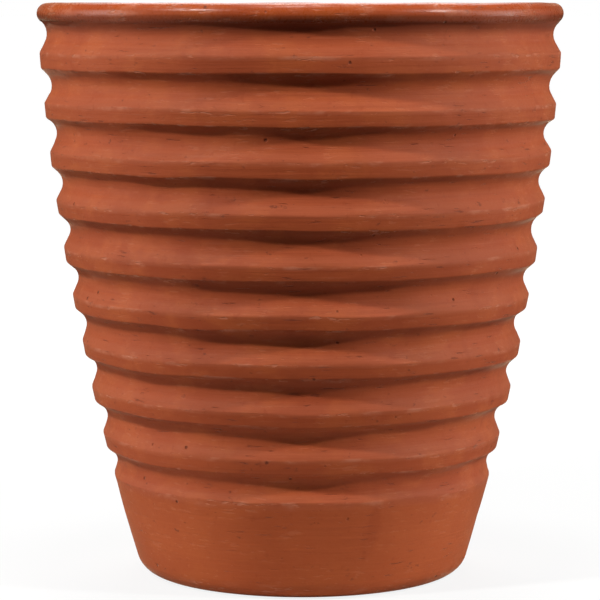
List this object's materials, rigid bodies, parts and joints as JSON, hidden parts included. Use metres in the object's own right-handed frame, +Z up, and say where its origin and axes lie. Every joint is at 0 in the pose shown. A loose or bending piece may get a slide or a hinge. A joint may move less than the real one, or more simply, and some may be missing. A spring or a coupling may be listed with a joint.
{
  "type": "plant pot",
  "caption": "Tall round terracotta plant pot with a bowed, fluted side, a rounded lip, a plain foot band and a central drainage hole.",
  "frame": {"origin": "centre of the foot, on the ground", "axes": "+Z up along the pot's own axis, from the foot to the open rim; the pot is round, so +X and +Y are any two level directions at right angles"},
  "size_m": [0.28, 0.2798, 0.306],
  "materials": {
    "terracotta": "matte"
  },
  "bodies": {
    "root": {"pot": "terracotta"}
  },
  "joints": []
}
